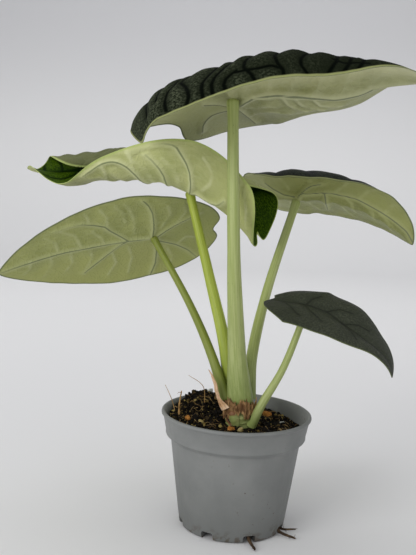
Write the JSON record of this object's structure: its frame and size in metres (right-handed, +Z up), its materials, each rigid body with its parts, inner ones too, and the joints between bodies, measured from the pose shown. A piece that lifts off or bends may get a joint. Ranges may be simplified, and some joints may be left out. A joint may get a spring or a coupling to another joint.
{
  "type": "potted alocasia",
  "caption": "Young alocasia houseplant with stalked arrow-shaped leaves, dark above and pale below, rooted in soil in a small grey stepped nursery pot.",
  "frame": {"origin": "centre of the pot's flat underside", "axes": "+Z up along the pot's axis, -Y towards the viewer, the rolled leaf points to -X"},
  "size_m": [0.173, 0.1169, 0.1787],
  "materials": {
    "pot_plastic": "matte blue-grey moulded plastic",
    "potting_soil": "coarse damp peat and bark",
    "leaf_blade": "dark quilted upper face, pale sage underside",
    "leaf_stalk": "smooth pale green, faint streaks",
    "crown_skin": "green base with brown scars",
    "dry_husk": "papery tan, fibrous",
    "root_skin": "dark brown, matte",
    "bark_chip": "rough orange-brown bark",
    "grit_stone": "dull tan grit",
    "perlite_grain": "chalky grey-white"
  },
  "bodies": {
    "root": {"pot": "pot_plastic", "soil": "potting_soil", "crown": "crown_skin", "stalk_stub": "crown_skin", "papery_collar": "dry_husk", "dried_scale": "dry_husk", "tall_leaf_blade": "leaf_blade", "tall_leaf_stalk": "leaf_stalk", "rolled_leaf_blade": "leaf_blade", "rolled_leaf_stalk": "leaf_stalk", "left_leaf_blade": "leaf_blade", "left_leaf_stalk": "leaf_stalk", "right_leaf_blade": "leaf_blade", "right_leaf_stalk": "leaf_stalk", "small_leaf_blade": "leaf_blade", "small_leaf_stalk": "leaf_stalk", "root_front": "root_skin", "root_right": "root_skin", "root_right_thin": "root_skin", "root_left": "root_skin", "root_back": "root_skin", "dry_stalk": "dry_husk", "dry_hair_left": "dry_husk", "dry_hair_back": "dry_husk", "bark_chip_front": "bark_chip", "bark_chip_left": "bark_chip", "bark_chip_right": "bark_chip", "grit_front": "grit_stone", "grit_left": "grit_stone", "grit_right": "grit_stone", "perlite_back": "perlite_grain", "perlite_side": "perlite_grain"}
  },
  "joints": []
}
